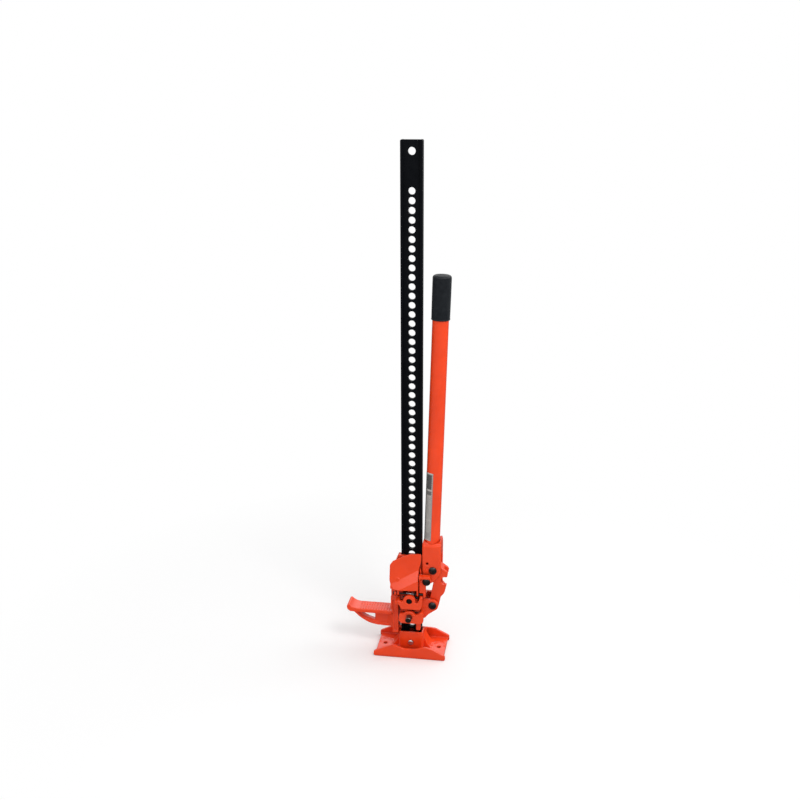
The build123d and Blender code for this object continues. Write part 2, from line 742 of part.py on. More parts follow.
with BuildPart() as reversing_latch:
    # broad panel, leaning back
    with BuildSketch(panel_plane):
        with BuildLine():
            Polyline(*[(x, (z - PANEL_Z) / math.cos(TILT)) for x, z in PANEL], close=True)
        make_face()
        fillet(vertices().filter_by(lambda vertex: vertex.Z > 234), 2.5)
    extrude(amount=-PANEL_T)
    # ramped lip along its lower edge
    for x, outline in LIP_SECTIONS:
        with BuildSketch(plane_x(x)):
            with BuildLine():
                Polyline(*outline, close=True)
            make_face()
    loft(ruled=True)
    # trimmed level below and cornered on the nose side
    with BuildSketch(Plane.XY.offset(100)):
        Rectangle(200, 200)
    extrude(amount=79.3, mode=Mode.SUBTRACT)
    with BuildSketch(Plane.XY.offset(170)):
        with BuildLine():
            Polyline((-60, -41), (-44.5, -41), (-32, -49.5), (-32, -70), (-60, -70), close=True)
        make_face()
    extrude(amount=22, mode=Mode.SUBTRACT)
    # hollow behind the lip
    for x, outline in HOLLOW_SECTIONS:
        with BuildSketch(plane_x(x)):
            with BuildLine():
                Polyline(*outline, close=True)
            make_face()
    loft(ruled=True, mode=Mode.SUBTRACT)
    # hinge ears
    for x, thickness, upper_outline in HINGE_EARS:
        with BuildSketch(plane_x(x)):
            with BuildLine():
                Polyline(
                    (LATCH_Y - 4.2, LATCH_Z), (LATCH_Y + 4.2, LATCH_Z), *upper_outline,
                    close=True,
                )
            make_face()
            with Locations((LATCH_Y, LATCH_Z)):
                Circle(4.6)
        extrude(amount=thickness)
    with BuildSketch(plane_x(-33)):
        with Locations((LATCH_Y, LATCH_Z)):
            Circle(LATCH_PIN_R + 0.05)
    extrude(amount=56, mode=Mode.SUBTRACT)
finish(reversing_latch.part, "reversing_latch")

with BuildPart() as latch_pin:
    with BuildSketch(plane_x(-39.5)):
        with Locations((LATCH_Y, LATCH_Z)):
            Circle(LATCH_PIN_R)
    extrude(amount=71.8)
    # head
    with BuildSketch(plane_x(-41)):
        with Locations((LATCH_Y, LATCH_Z)):
            Circle(3.6)
    extrude(amount=2.4)
finish(latch_pin.part, "latch_pin")

make_spring(
    "latch_spring", start=(-8, LATCH_Y, LATCH_Z), direction=(1, 0, 0),
    height=17.6, turns=10, coil_r=3.1, wire_r=0.6,
)

# ------------------------------------------------------------- handle socket
SOCKET_X0 = 27.6         # face towards the bar
SOCKET_X1 = 72.7         # face away from the bar
SOCKET_RIM_Z = 290.5     # where the bevelled rim begins
SOCKET_CORNER_R = 4
PIVOT_END_R = 12.9       # rounded lower corner about the pivot bolt

# X, Z outline
SOCKET_SIDE = [
    (SOCKET_X0, 206), (31.5, 193.5), (38, 189.2), (46, 190), (55.7, 196),
    (SOCKET_X1, 219), (SOCKET_X1, SOCKET_RIM_Z), (SOCKET_X0, SOCKET_RIM_Z),
]
with BuildPart() as handle_socket:
    with BuildSketch(plane_y(-SOCKET_HALF_Y)):
        with BuildLine():
            Polyline(*SOCKET_SIDE, close=True)
        make_face()
        fillet(vertices().filter_by(lambda vertex: vertex.Z < 225), 2.0)
    extrude(amount=-2 * SOCKET_HALF_Y)
    # rounded corners and bevelled rim
    tall_corners = handle_socket.edges().filter_by(Axis.Z).filter_by(
        lambda edge: edge.length > 50
    )
    fillet(tall_corners, SOCKET_CORNER_R)
    with BuildSketch(Plane.XY.offset(SOCKET_RIM_Z)):
        with Locations(((SOCKET_X0 + SOCKET_X1) / 2, 0)):
            RectangleRounded(SOCKET_X1 - SOCKET_X0, 2 * SOCKET_HALF_Y, SOCKET_CORNER_R)
    extrude(amount=9.5, taper=12)
    # rim dished along X, and bevelled at the front
    with BuildSketch(plane_y(-30)):
        with Locations((51.2, 329.8)):
            Circle(36)
    extrude(amount=-60, mode=Mode.SUBTRACT)
    with BuildSketch(plane_x(20)):
        with BuildLine():
            Polyline(
                (-27, 289.2), (-25, 290.2), (-18.7, 294), (-18.7, 305), (-27, 305), close=True,
            )
        make_face()
    extrude(amount=60, mode=Mode.SUBTRACT)
    # slot for the pitman
    with BuildSketch(plane_y(-16.6)):
        with BuildLine():
            Polyline((20, 180), (90, 180), (90, 266), (33, 266), (33, 222), (20, 222), close=True)
        make_face()
    extrude(amount=-33.2, mode=Mode.SUBTRACT)
    # bore for the handle tube
    with BuildSketch(tube_plane):
        Circle(TUBE_R + 0.05)
    extrude(amount=60, mode=Mode.SUBTRACT)
    # bolt bores and the small cross-drilled hole
    with BuildSketch(plane_y(-40)):
        with Locations(SOCKET_PITMAN_XZ, (PIVOT_X, PIVOT_Z)):
            Circle(BOLT_BORE_R)
        with Locations((40, 244)):
            Circle(3.4)
    extrude(amount=-80, mode=Mode.SUBTRACT)
    # relieved lower corner towards the bar, so the fork swings clear of the large runner
    with BuildSketch(plane_y(-30)):
        with Locations((PIVOT_X, PIVOT_Z)):
            Rectangle(60, 60)
            Circle(PIVOT_END_R, mode=Mode.SUBTRACT)
        with BuildLine():
            Polyline(
                (PIVOT_X, 150), (120, 150), (120, 260), (PIVOT_X - PIVOT_END_R, 260),
                (PIVOT_X - PIVOT_END_R, PIVOT_Z), (PIVOT_X, PIVOT_Z), close=True,
            )
        make_face(mode=Mode.SUBTRACT)
    extrude(amount=-60, mode=Mode.SUBTRACT)
finish(handle_socket.part, "handle_socket")

# ------------------------------------------------- handle tube, grip, label
GRIP_LEN = 102.0
GRIP_R = 21.5
GRIP_END_T = 3.6         # how far the grip reaches past TUBE_LEN
SLEEVE_R = TUBE_R + 0.02   # bore of the grip and the label

with BuildPart() as handle_tube:
    with BuildSketch(tube_plane.offset(TUBE_END_GAP)):
        Circle(TUBE_R)
        Circle(TUBE_R - TUBE_WALL, mode=Mode.SUBTRACT)
    extrude(amount=TUBE_LEN)
finish(handle_tube.part, "handle_tube")

with BuildPart() as handle_grip:
    with BuildSketch(tube_plane.offset(TUBE_LEN + GRIP_END_T - GRIP_LEN)):
        Circle(GRIP_R)
    extrude(amount=GRIP_LEN)
    fillet(handle_grip.edges().filter_by(GeomType.CIRCLE).sort_by(Axis.Z)[-1], 5.0)
    fillet(handle_grip.edges().filter_by(GeomType.CIRCLE).sort_by(Axis.Z)[0], 1.0)
    with BuildSketch(tube_plane.offset(100)):
        Circle(SLEEVE_R)
    extrude(amount=TUBE_LEN - 100 + 0.1, mode=Mode.SUBTRACT)
finish(handle_grip.part, "handle_grip")

# label wrapped around the front of the tube, on the side towards the bar
LABEL_REACH = 60         # radius of the sector that cuts out the label
LABEL_BACK = math.radians(8)
LABEL_FRONT = math.radians(3)
with BuildPart() as handle_label:
    with BuildSketch(tube_plane.offset(33)):
        Circle(TUBE_R + 0.35)
        Circle(SLEEVE_R, mode=Mode.SUBTRACT)
        with BuildLine():
            Polyline(
                (0, 0),
                (-LABEL_REACH * math.cos(LABEL_BACK), LABEL_REACH * math.sin(LABEL_BACK)),
                (-LABEL_REACH, -LABEL_REACH),
                (-LABEL_REACH * math.sin(LABEL_FRONT), -LABEL_REACH * math.cos(LABEL_FRONT)),
                close=True,
            )
        make_face(mode=Mode.INTERSECT)
    extrude(amount=172)
finish(handle_label.part, "handle_label")

# -------------------------------------------------------------------- pitman
PITMAN_HALF_Y = 15.5

# X, Z outline in three runs: up the bar side and over the top, round the
# notch, and back down
PITMAN_TOP = [
    (45.5, 146), (54, 189), (53, 194), (49.5, 205), (45.5, 216), (41.8, 225), (43, 233),
    (50, 240), (60, 240.5), (66, 236.5), (71, 232.5), (86, 222), (89, 217), (87.5, 207.5),
    (84, 206.5),
]
PITMAN_NOTCH = [(84, 206.5), (76.5, 205), (72.3, 197.5), (74.5, 190), (79.5, 186.5)]
PITMAN_LOWER = [
    (79.5, 186.5), (83.5, 188.2), (85.5, 185), (82.7, 170.5), (80, 163), (72, 153.5),
    (67.5, 130), (62, 123.5), (53.5, 121), (45, 124.5), (41, 134), (45.5, 146),
]
PITMAN_CHANNEL = [
    (76, 150), (110, 150), (110, 245), (79, 245), (79, 206), (66, 206), (66, 180),
    (76, 180), (70, 160),
]
with BuildPart() as pitman:
    with BuildSketch(plane_y(-PITMAN_HALF_Y)):
        with BuildLine():
            Polyline(*PITMAN_TOP)
            Spline(*PITMAN_NOTCH)
            Polyline(*PITMAN_LOWER)
        make_face()
        fillet(vertices().filter_by(lambda vertex: vertex.Z > 216 and vertex.X > 80), 1.5)
    extrude(amount=-2 * PITMAN_HALF_Y)
    # slot for the upper bolt, and bore for the lower one
    with BuildSketch(plane_y(-20)):
        with Locations((53.7, 227.9), (63.1, 228.6)):
            Circle(7.6)
        with BuildLine():
            Polyline((53.7, 220.3), (63.1, 221.0), (63.1, 236.2), (53.7, 235.5), close=True)
        make_face()
        with Locations(PITMAN_LOWER_XZ):
            Circle(BOLT_BORE_R)
    extrude(amount=-40, mode=Mode.SUBTRACT)
    # relieved around the notch, all but the front
    with BuildSketch(plane_y(-4)):
        with BuildLine():
            Polyline((73.5, 207.2), (98, 209.5), (98, 176), (80, 176), (73.5, 184), close=True)
        make_face()
    extrude(amount=-20, mode=Mode.SUBTRACT)
    # channel open to the handle side
    with BuildSketch(plane_y(-8.5)):
        with BuildLine():
            Polyline(*PITMAN_CHANNEL, close=True)
        make_face()
    extrude(amount=-17, mode=Mode.SUBTRACT)
finish(pitman.part, "pitman")

# ------------------------------------------------------------ bolts and nuts
HEAD_R = 9.5
HEAD_H = 6.2
HEAD_RIM_H = 1.9
NUT_HALF_FLATS = 9.2
NUT_T = 9
SEAT_GAP = 0.02          # between a head or nut and the face it bears on
SHANK_REACH = 11         # shank beyond the rear clamped face


def make_bolt(name, bolt_x, bolt_z, half_y):
    """Dome-headed bolt, head at the front, through a width of 2 * half_y."""
    seat = -half_y - SEAT_GAP
    end = half_y + SHANK_REACH
    with BuildPart() as bolt:
        with BuildSketch(plane_x(bolt_x)):
            with BuildLine():
                Spline(
                    (seat - HEAD_H, bolt_z), (seat - HEAD_H + 1.5, bolt_z + 5.6),
                    (seat - HEAD_RIM_H, bolt_z + HEAD_R), tangents=((0, 1), (0.75, 0.6)),
                )
                Polyline(
                    (seat - HEAD_RIM_H, bolt_z + HEAD_R), (seat, bolt_z + HEAD_R),
                    (seat, bolt_z + BOLT_R), (end - 1, bolt_z + BOLT_R),
                    (end, bolt_z + BOLT_R - 1), (end, bolt_z), (seat - HEAD_H, bolt_z),
                )
            make_face()
        revolve(axis=Axis((bolt_x, 0, bolt_z), (0, 1, 0)))
    finish(bolt.part, name)


def make_nut(name, bolt_x, bolt_z, half_y):
    with BuildPart() as nut:
        with BuildSketch(plane_y(half_y + SEAT_GAP)):
            with Locations((bolt_x, bolt_z)):
                RegularPolygon(NUT_HALF_FLATS, 6, major_radius=False)
                Circle(BOLT_R + 0.02, mode=Mode.SUBTRACT)
        extrude(amount=-NUT_T)
    finish(nut.part, name)


for joint, (bolt_x, bolt_z), half_y in (
    ("socket_pitman", SOCKET_PITMAN_XZ, SOCKET_HALF_Y),
    ("socket_pivot", (PIVOT_X, PIVOT_Z), LARGE_EAR_Y),
    ("pitman_lower", PITMAN_LOWER_XZ, SMALL_EAR_Y),
):
    make_bolt(joint + "_bolt", bolt_x, bolt_z, half_y)
    make_nut(joint + "_nut", bolt_x, bolt_z, half_y)
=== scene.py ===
"""A climbing mechanical jack, standing on the floor at z = 0 in metres, +Z up.

The rack bar rises along Z, the climbing pins and their springs lie along Y, and the
handle stands beside the bar, leaning slightly towards +X. The camera looks from -Y.
"""
import bpy, bmesh, math
import numpy as np
from mathutils import Vector, Matrix

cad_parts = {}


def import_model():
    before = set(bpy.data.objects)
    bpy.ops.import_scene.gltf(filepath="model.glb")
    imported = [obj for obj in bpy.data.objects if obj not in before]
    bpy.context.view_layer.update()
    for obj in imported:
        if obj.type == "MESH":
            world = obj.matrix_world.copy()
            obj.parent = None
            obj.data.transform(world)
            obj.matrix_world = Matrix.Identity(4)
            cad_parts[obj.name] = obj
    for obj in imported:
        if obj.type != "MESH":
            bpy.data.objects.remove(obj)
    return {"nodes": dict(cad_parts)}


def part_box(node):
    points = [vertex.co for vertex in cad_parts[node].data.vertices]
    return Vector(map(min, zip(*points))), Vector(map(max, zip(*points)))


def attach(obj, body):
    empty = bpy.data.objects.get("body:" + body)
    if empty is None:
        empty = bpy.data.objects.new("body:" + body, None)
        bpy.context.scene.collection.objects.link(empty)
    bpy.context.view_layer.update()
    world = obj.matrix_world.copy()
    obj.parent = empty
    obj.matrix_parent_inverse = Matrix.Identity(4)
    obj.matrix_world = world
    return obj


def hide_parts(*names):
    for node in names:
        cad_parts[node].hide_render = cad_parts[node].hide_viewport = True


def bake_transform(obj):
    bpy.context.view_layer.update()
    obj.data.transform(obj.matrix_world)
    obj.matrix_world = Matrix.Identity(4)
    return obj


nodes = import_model()["nodes"]
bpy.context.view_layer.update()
scene = bpy.context.scene

# Handle: heights run along its axis from HANDLE_FOOT, angles turn from its +X side to +Y
HANDLE_FOOT = Vector((0.04777, 0, 0.268))
HANDLE_LEAN = math.radians(1.705)
HANDLE_AXIS = Vector((math.sin(HANDLE_LEAN), 0, math.cos(HANDLE_LEAN)))
HANDLE_SIDE = Vector((math.cos(HANDLE_LEAN), 0, -math.sin(HANDLE_LEAN)))
TUBE_RADIUS = 0.01875


# ------------------------------------------------------------------ objects
def link(item):
    scene.collection.objects.link(item)
    return item


def mesh_object(name, bm):
    mesh = bpy.data.meshes.new(name)
    bm.to_mesh(mesh)
    bm.free()
    return link(bpy.data.objects.new(name, mesh))


def smooth_object(name, bm):
    bmesh.ops.recalc_face_normals(bm, faces=bm.faces)
    item = mesh_object(name, bm)
    for polygon in item.data.polygons:
        polygon.use_smooth = True
    return item


def set_material(item, material):
    item.data.materials.clear()
    item.data.materials.append(material)


def join_rings(bm, rings):
    """Skins successive rings of vertices; a ring of one vertex is a pole."""
    for ring, following in zip(rings, rings[1:]):
        sides = max(len(ring), len(following))
        for k in range(sides):
            after = (k + 1) % sides
            corners = (
                ring[k % len(ring)],
                ring[after % len(ring)],
                following[after % len(following)],
                following[k % len(following)],
            )
            bm.faces.new(tuple(dict.fromkeys(corners)))


# ------------------------------------------------------------- shader nodes
class Shader:
    """Adds nodes to a tree. Any input may be a number, a tuple or another node's output."""

    def __init__(self, tree):
        self.tree = tree

    def fill(self, node, inputs):
        for key, value in inputs.items():
            socket = node.inputs[key]
            if isinstance(value, bpy.types.NodeSocket):
                self.tree.links.new(value, socket)
            else:
                socket.default_value = (*value, 1) if socket.type == "RGBA" else value

    def node(self, kind, inputs=None, **settings):
        node = self.tree.nodes.new("ShaderNode" + kind)
        for key, value in settings.items():
            setattr(node, key, value)
        self.fill(node, inputs or {})
        return node

    def coords(self, scale=(1, 1, 1)):
        place = self.node("TexCoord").outputs["Object"]
        return self.node("Mapping", {"Scale": scale, "Vector": place}).outputs["Vector"]

    def noise(self, place, scale, detail, roughness=0.55):
        inputs = {"Scale": scale, "Detail": detail, "Roughness": roughness, "Vector": place}
        return self.node("TexNoise", inputs).outputs["Fac"]

    def grey_ramp(self, factor, stops):
        """Stops are (position, grey level)."""
        node = self.node("ValToRGB", {"Fac": factor})
        elements = node.color_ramp.elements
        while len(elements) < len(stops):
            elements.new(0.5)
        for element, (position, level) in zip(elements, stops):
            element.position = position
            element.color = (level, level, level, 1)
        return node.outputs["Color"]

    def grey(self, value):
        return self.node("CombineColor", {i: value for i in range(3)}).outputs[0]

    def remap(self, value, span, to=(0, 1)):
        inputs = {
            "From Min": span[0],
            "From Max": span[1],
            "To Min": to[0],
            "To Max": to[1],
            "Value": value,
        }
        return self.node("MapRange", inputs).outputs["Result"]

    def math(self, operation, a, b, clamp=False):
        return self.node("Math", {0: a, 1: b}, operation=operation, use_clamp=clamp).outputs[0]

    def masked(self, value, mask):
        return self.math("MULTIPLY", value, mask, clamp=True)

    def between(self, value, low, high):
        above = self.math("GREATER_THAN", value, low)
        return self.math("MULTIPLY", above, self.math("LESS_THAN", value, high))

    def mix(self, amount, under, over, blend="MIX"):
        inputs = {0: amount, 6: under, 7: over}
        return self.node("Mix", inputs, data_type="RGBA", blend_type=blend).outputs[2]

    def bump(self, height, strength, distance, under=None):
        inputs = {"Strength": strength, "Distance": distance, "Height": height}
        if under is not None:
            inputs["Normal"] = under
        return self.node("Bump", inputs).outputs["Normal"]

    def edges(self, radius):
        """A mask that is 1 on edges and 0 on flats, and the rounded normal it comes from."""
        rounded = self.node("Bevel", {"Radius": radius}, samples=6).outputs["Normal"]
        true = self.node("NewGeometry").outputs["Normal"]
        dot = self.node("VectorMath", {0: rounded, 1: true}, operation="DOT_PRODUCT")
        departure = self.math("SUBTRACT", 1.0, dot.outputs["Value"])
        return self.remap(departure, span=(0.02, 0.25)), rounded

    def occlusion(self, distance):
        """1 in the open, falling to 0 in hollows."""
        node = self.node("AmbientOcclusion", {"Distance": distance}, samples=6)
        return node.outputs["AO"]


class Material(Shader):
    """A new material with one Principled surface."""

    def __init__(self, name):
        self.material = bpy.data.materials.new(name)
        self.material.use_nodes = True
        super().__init__(self.material.node_tree)
        self.tree.nodes.clear()
        self.output = self.node("OutputMaterial")
        self.principled = self.node("BsdfPrincipled")
        self.fill(self.output, {"Surface": self.principled.outputs[0]})

    def surface(self, inputs):
        self.fill(self.principled, inputs)
        return self.material


# ---------------------------------------------------------------- materials
CAST_RED = (0.90, 0.058, 0.0055)
TUBE_RED = (0.93, 0.060, 0.0055)
# random darker tone, also painted shade in tight corners
DEEP_TONE_AND_SHADE_RED = (0.56, 0.029, 0.006)
# painted shade in wide hollows
PAINTED_SHADE_RED = (0.16, 0.010, 0.006)
# pale red for edges: partly wear, partly a painted highlight
PALE_WEAR_AND_HIGHLIGHT_RED = (0.88, 0.15, 0.065)
PRIMER_GREY = (0.16, 0.145, 0.135)
RED_DUST = (0.30, 0.14, 0.09)


def red_paint(name, base, cast):
    """Glossy red: painted shade deepens it in hollows, pale edges are partly wear and partly a
    painted highlight, chipped on edges, dusty in corners.
    """
    shader = Material(name)
    place = shader.coords()
    broad = shader.noise(place, scale=14, detail=3, roughness=0.6)
    medium = shader.noise(place, scale=90, detail=4, roughness=0.6)
    fine = shader.noise(place, scale=520, detail=2, roughness=0.5)
    colour = shader.mix(shader.remap(broad, span=(0.3, 0.7), to=(0, 0.35)), base, DEEP_TONE_AND_SHADE_RED)
    # painted shade: darker red close to other surfaces
    near = shader.occlusion(distance=0.008)
    colour = shader.mix(shader.remap(near, span=(0.15, 0.80), to=(0.80, 0)), colour, DEEP_TONE_AND_SHADE_RED)
    # painted shade: near-black red deep in wide hollows
    wide = shader.occlusion(distance=0.030)
    colour = shader.mix(shader.remap(wide, span=(0.05, 0.55), to=(0.55, 0)), colour, PAINTED_SHADE_RED)

    edge, normal = shader.edges(radius=0.0011 if cast else 0.0005)
    # pale edges: partly paint wear, partly a painted highlight
    pale_edge_wear_and_highlight = shader.masked(edge, shader.remap(medium, span=(0.35, 0.75), to=(0.15, 0.75)))
    colour = shader.mix(pale_edge_wear_and_highlight, colour, PALE_WEAR_AND_HIGHLIGHT_RED)
    spots = shader.noise(place, scale=260, detail=3, roughness=0.7)
    chips = shader.masked(edge, shader.remap(spots, span=(0.66, 0.70)))
    colour = shader.mix(chips, colour, PRIMER_GREY)
    corners = shader.remap(near, span=(0.2, 0.75), to=(0.22, 0))
    dust = shader.masked(corners, shader.remap(medium, span=(0.4, 0.7)))
    colour = shader.mix(dust, colour, RED_DUST)

    # chips are rougher than the paint around them
    roughness = shader.remap(medium, span=(0.25, 0.75), to=(0.27, 0.42))
    roughness = shader.math("ADD", roughness, shader.math("MULTIPLY", chips, 0.3))

    if cast:
        lumps = shader.noise(place, scale=210, detail=4, roughness=0.62)
        normal = shader.bump(lumps, strength=0.30, distance=0.0006, under=normal)
        grains = shader.noise(place, scale=700, detail=2, roughness=0.5)
        grains = shader.remap(grains, span=(0.4, 0.9))
        normal = shader.bump(grains, strength=0.18, distance=0.0002, under=normal)
    else:
        ripple = shader.noise(place, scale=330, detail=2, roughness=0.5)
        normal = shader.bump(ripple, strength=0.10, distance=0.0003, under=normal)
    normal = shader.bump(fine, strength=0.06, distance=0.0002, under=normal)
    return shader.surface({
        "Base Color": colour,
        "Roughness": roughness,
        "Coat Weight": 0.40,
        "Coat Roughness": 0.12,
        "IOR": 1.5,
        "Specular IOR Level": 0.45,
        "Normal": normal,
    })


def black_paint(name):
    """Dark bar paint with scuffs streaked along Z and greyed edges."""
    dark, light = (0.0017, 0.0022, 0.0034), (0.0036, 0.0042, 0.0060)
    worn_grey, scuff_grey = (0.045, 0.046, 0.050), (0.018, 0.019, 0.023)
    shader = Material(name)
    place = shader.coords()
    stretched = shader.coords(scale=(1, 1, 0.06))
    broad = shader.noise(place, scale=9, detail=3, roughness=0.6)
    streak = shader.noise(stretched, scale=210, detail=4, roughness=0.65)
    medium = shader.noise(place, scale=120, detail=4, roughness=0.6)
    colour = shader.mix(shader.remap(broad, span=(0.3, 0.75)), dark, light)
    edge, normal = shader.edges(radius=0.0006)
    wear = shader.masked(edge, shader.remap(medium, span=(0.5, 0.68), to=(0, 0.4)))
    colour = shader.mix(wear, colour, worn_grey)
    scuffs = shader.remap(streak, span=(0.66, 0.78), to=(0, 0.35))
    colour = shader.mix(scuffs, colour, scuff_grey)
    roughness = shader.remap(medium, span=(0.2, 0.8), to=(0.34, 0.50))
    roughness = shader.math("ADD", roughness, shader.math("MULTIPLY", scuffs, 0.25))
    ripple = shader.noise(place, scale=420, detail=3, roughness=0.6)
    normal = shader.bump(ripple, strength=0.14, distance=0.0003, under=normal)
    normal = shader.bump(streak, strength=0.05, distance=0.0003, under=normal)
    return shader.surface({
        "Base Color": colour,
        "Roughness": roughness,
        "Specular IOR Level": 0.16,
        "Normal": normal,
    })


def metal(name, dark, light, roughness, edge_wear_and_highlight_colour, edge_wear_and_highlight_amount,
          metallic=1.0, grain=(1, 1, 1), grain_bump=0.08):
    """Mottled metal; roughness is a (low, high) range and grain scales the fine noise."""
    shader = Material(name)
    place = shader.coords()
    broad = shader.noise(place, scale=60, detail=4, roughness=0.6)
    fine = shader.noise(shader.coords(grain), scale=900, detail=3, roughness=0.6)
    colour = shader.mix(shader.remap(broad, span=(0.3, 0.7)), dark, light)
    edge, normal = shader.edges(radius=0.0005)
    # edges pale towards the edge colour: partly wear, partly a painted highlight
    colour = shader.mix(shader.masked(edge, edge_wear_and_highlight_amount), colour, edge_wear_and_highlight_colour)
    return shader.surface({
        "Base Color": colour,
        "Metallic": metallic,
        "Roughness": shader.remap(fine, span=(0.25, 0.75), to=roughness),
        "Normal": shader.bump(fine, strength=grain_bump, distance=0.0002, under=normal),
    })


def rubber(name):
    """Matt black rubber with pale dust in its creases."""
    dark, light = (0.0068, 0.0088, 0.0118), (0.0120, 0.0148, 0.0185)
    dust_grey = (0.035, 0.035, 0.035)
    shader = Material(name)
    place = shader.coords()
    fine = shader.noise(place, scale=1100, detail=3, roughness=0.6)
    medium = shader.noise(place, scale=70, detail=4, roughness=0.6)
    colour = shader.mix(shader.remap(medium, span=(0.35, 0.7)), dark, light)
    near = shader.occlusion(distance=0.004)
    creases = shader.remap(near, span=(0.5, 0.95), to=(0.5, 0))
    dust = shader.masked(creases, shader.remap(medium, span=(0.4, 0.65)))
    return shader.surface({
        "Base Color": shader.mix(dust, colour, dust_grey),
        "Roughness": shader.remap(medium, span=(0.3, 0.7), to=(0.46, 0.62)),
        "Specular IOR Level": 0.25,
        "Sheen Weight": 0.08,
        "Sheen Roughness": 0.4,
        "Normal": shader.bump(fine, strength=0.22, distance=0.0002),
    })


CAST_PAINT = red_paint("cast_paint", CAST_RED, cast=True)
FOOT_PAINT = red_paint("cast_paint_foot", CAST_RED, cast=True)
TUBE_PAINT = red_paint("tube_paint", TUBE_RED, cast=False)
BAR_BLACK = black_paint("bar_black")
# paler edges on the bolts and nuts: a painted highlight
BLACK_OXIDE = metal(
    "bolt_black_oxide", dark=(0.0060, 0.0058, 0.0065), light=(0.015, 0.013, 0.013),
    roughness=(0.24, 0.38), metallic=0.15, edge_wear_and_highlight_colour=(0.06, 0.055, 0.055), edge_wear_and_highlight_amount=0.5)
OILED_BLACK = metal(
    "pin_black_oil", dark=(0.007, 0.007, 0.008), light=(0.020, 0.018, 0.017),
    roughness=(0.26, 0.42), metallic=0.4, edge_wear_and_highlight_colour=(0.12, 0.11, 0.10), edge_wear_and_highlight_amount=0.6)
DARK_STEEL = metal(
    "pin_steel_dark", dark=(0.10, 0.086, 0.074), light=(0.20, 0.178, 0.158),
    roughness=(0.30, 0.50), grain=(1, 0.08, 1), grain_bump=0.12,
    edge_wear_and_highlight_colour=(0.42, 0.39, 0.36), edge_wear_and_highlight_amount=0.6)
ZINC = metal(
    "zinc_bright", dark=(0.46, 0.47, 0.49), light=(0.66, 0.67, 0.69),
    roughness=(0.28, 0.44), grain_bump=0.05, edge_wear_and_highlight_colour=(0.92, 0.92, 0.93), edge_wear_and_highlight_amount=0.5)
SPRING_WIRE = metal(
    "spring_wire", dark=(0.50, 0.51, 0.54), light=(0.72, 0.73, 0.76),
    roughness=(0.18, 0.34), grain_bump=0.05, edge_wear_and_highlight_colour=(0.85, 0.85, 0.86), edge_wear_and_highlight_amount=0.2)
RUBBER = rubber("grip_rubber")

PIECE_MATERIALS = (
    (FOOT_PAINT, ("base_plate",)),
    (CAST_PAINT, ("small_runner", "large_runner", "reversing_latch", "handle_socket", "pitman")),
    (TUBE_PAINT, ("handle_tube",)),
    (BAR_BLACK, ("rack_bar",)),
    (BLACK_OXIDE, (
        "latch_pin", "upper_cross_pin", "lower_cross_pin",
        "socket_pitman_bolt", "socket_pitman_nut", "socket_pivot_bolt", "socket_pivot_nut",
        "pitman_lower_bolt", "pitman_lower_nut")),
    (OILED_BLACK, ("upper_climbing_pin",)),
    (DARK_STEEL, ("lower_climbing_pin",)),
    (ZINC, ("base_pin", "base_pin_cotter")),
    (SPRING_WIRE, ("latch_spring", "upper_pin_spring", "lower_pin_spring")),
)
for material, names in PIECE_MATERIALS:
    for name in names:
        set_material(nodes[name], material)

# ----------------------------------------------------------------- castings
VOXEL = 0.0009
LUMP_HEIGHT = 0.00025
# piece, voxel size as a share of VOXEL, smoothing passes
CASTINGS = (
    ("large_runner", 0.82, 3),
    ("small_runner", 0.82, 4),
    ("base_plate", 1.0, 5),
    ("handle_socket", 0.9, 6),
    ("pitman", 0.9, 6),
    ("reversing_latch", 0.85, 4),
)
sand_texture = bpy.data.textures.new("sand_cast", "CLOUDS")
sand_texture.noise_scale = 0.012
sand_texture.noise_depth = 3


def cast_finish(item, voxel, passes):
    """Rounds a casting's edges and gives it a slightly uneven sand-cast skin."""
    skin = item.modifiers.new("cast_skin", "REMESH")
    skin.mode = "VOXEL"
    skin.voxel_size = voxel
    skin.use_smooth_shade = True
    rounding = item.modifiers.new("cast_round", "SMOOTH")
    rounding.factor = 0.5
    rounding.iterations = passes
    lumps = item.modifiers.new("cast_lumps", "DISPLACE")
    lumps.texture = sand_texture
    lumps.texture_coords = "LOCAL"
    lumps.strength = LUMP_HEIGHT
    lumps.mid_level = 0.5


for name, share, passes in CASTINGS:
    cast_finish(nodes[name], VOXEL * share, passes)

# -------------------------------------------------------------- coil springs
WIRE_RADIUS = 0.0009
COIL_TURNS = 5.5
STEPS_PER_TURN = 40
WIRE_SIDES = 12
CLOSED_TURNS = 0.75                     # nearly flat turns at each end
CLOSED_RISE = 2 * WIRE_RADIUS * 0.9 * 0.6


